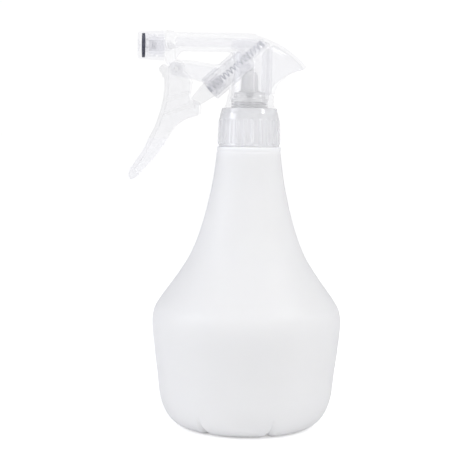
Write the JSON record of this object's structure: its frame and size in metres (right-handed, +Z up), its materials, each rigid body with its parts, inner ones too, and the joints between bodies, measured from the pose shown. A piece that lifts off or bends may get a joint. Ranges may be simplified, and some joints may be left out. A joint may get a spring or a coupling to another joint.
{
  "type": "trigger spray bottle",
  "caption": "Clear trigger sprayer head screwed on a milky, flared squeeze bottle: a pulled lever pumps liquid from a dip tube to a turning nozzle.",
  "frame": {"origin": "centre of the bottle's resting plane, on the axis of bottle, neck and collar", "axes": "+Z up along the bottle's axis; the nozzle and trigger point along -X, the fin of the head along +X; +Y completes the right-handed frame"},
  "size_m": [0.1063, 0.094, 0.1951],
  "materials": {
    "milky_pe": "milky translucent blow-moulded polyethylene",
    "clear_pp": "natural clear polypropylene, glossy",
    "frosted_pp": "frosted natural polypropylene, satin",
    "valve_pe": "pale grey translucent polyethylene",
    "navy_seal": "dark navy elastomer",
    "grey_seal": "grey elastomer",
    "foam_seal": "foamed polyethylene washer",
    "tube_pe": "translucent polyethylene tube",
    "spring_steel": "drawn stainless wire",
    "glass_ball": "polished glass"
  },
  "bodies": {
    "bottle": {"bottle": "milky_pe"},
    "head": {"sprayer_housing": "clear_pp", "intake_plug": "valve_pe", "plug_seal": "grey_seal", "valve_dome": "valve_pe", "dip_tube": "tube_pe", "neck_gasket": "foam_seal", "swirl_insert": "frosted_pp", "return_spring": "spring_steel", "outlet_spring": "spring_steel"},
    "collar": {"screw_collar": "clear_pp"},
    "trigger": {"trigger": "frosted_pp", "trigger_pin": "frosted_pp"},
    "piston": {"piston_rod": "frosted_pp", "piston_cup": "valve_pe"},
    "nozzle": {"nozzle_cap": "clear_pp", "nozzle_gasket": "navy_seal"},
    "inlet_valve": {"inlet_ball": "glass_ball"},
    "outlet_valve": {"outlet_ball": "glass_ball"}
  },
  "joints": [
    {"name": "head_lift", "type": "slide", "parent": "bottle", "child": "head", "axis": [0, 0, 1], "range_m": [0, 0.0053]},
    {"name": "collar_turn", "type": "hinge", "parent": "head", "child": "collar", "pos_m": [0, 0, 0.1486], "axis": [0, 0, 1], "range_deg": [0, 451]},
    {"name": "trigger_pull", "type": "hinge", "parent": "head", "child": "trigger", "pos_m": [-0.0362, 0, 0.1767], "axis": [0, -1, 0], "range_deg": [0, 23.1]},
    {"name": "piston_slide", "type": "slide", "parent": "head", "child": "piston", "axis": [0.749, 0, 0.6626], "range_m": [0, 0.0076], "stiffness_N_per_m": 120, "springref_m": -0.0015, "deforming": ["return_spring"]},
    {"name": "nozzle_turn", "type": "hinge", "parent": "head", "child": "nozzle", "pos_m": [-0.049, 0, 0.18765], "axis": [-1, 0, 0], "continuous": true},
    {"name": "inlet_ball_lift", "type": "slide", "parent": "head", "child": "inlet_valve", "axis": [0, 0, 1], "range_m": [0, 0.002]},
    {"name": "outlet_ball_lift", "type": "slide", "parent": "head", "child": "outlet_valve", "axis": [-1, 0, 0], "range_m": [0, 0.0012], "stiffness_N_per_m": 2, "springref_m": -0.0001, "deforming": ["outlet_spring"]}
  ],
  "couplings": [
    {"joint": "collar_turn", "follows": "head_lift", "rad_per_m": 1484.3},
    {"joint": "trigger_pull", "follows": "piston_slide", "rad_per_m": 53.02}
  ]
}
